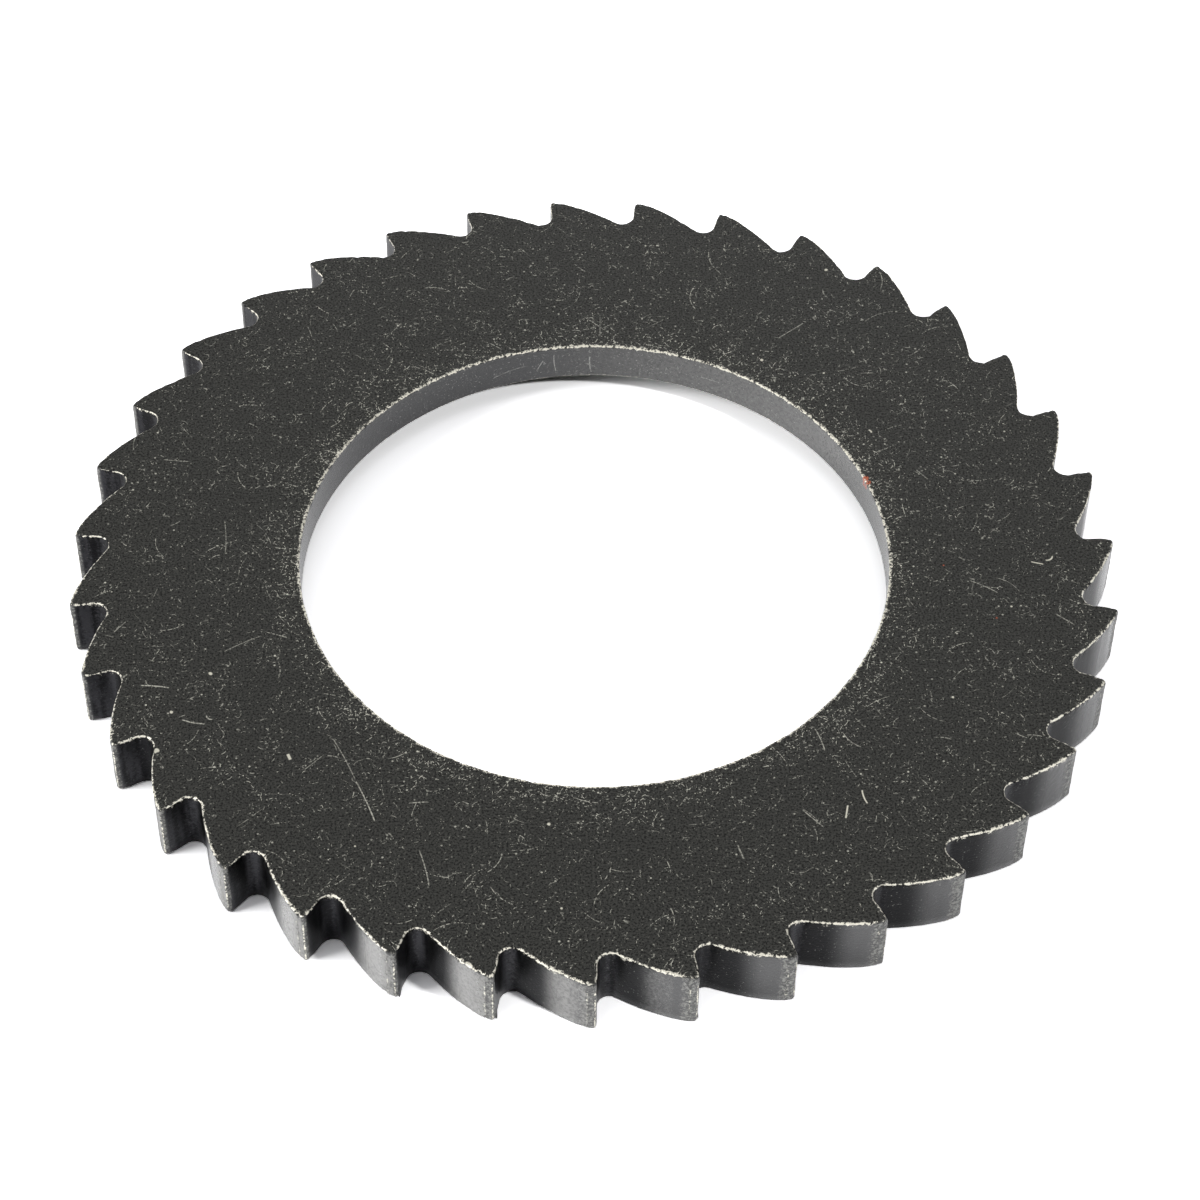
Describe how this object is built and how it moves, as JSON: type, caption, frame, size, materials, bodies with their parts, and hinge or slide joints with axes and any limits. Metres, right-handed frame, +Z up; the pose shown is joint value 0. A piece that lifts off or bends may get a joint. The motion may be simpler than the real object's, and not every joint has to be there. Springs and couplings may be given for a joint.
{
  "type": "ratchet gear",
  "caption": "Flat steel ratchet ring with saw-like teeth round its rim, a large plain bore and a shallow seat sunk round the bore in its underside, for a pawl and hub.",
  "frame": {"origin": "on the bore's axis, level with the underside that the ring lies on", "axes": "+Z up along the bore's axis, out of the plain upper face; +X towards one tooth tip. Seen from above, the working faces look anticlockwise"},
  "size_m": [0.1196, 0.1198, 0.008],
  "materials": {
    "blackened_steel": "matt black oxide, tumbled, with the edges worn bright"
  },
  "bodies": {
    "root": {"ratchet_gear": "blackened_steel"}
  },
  "joints": []
}
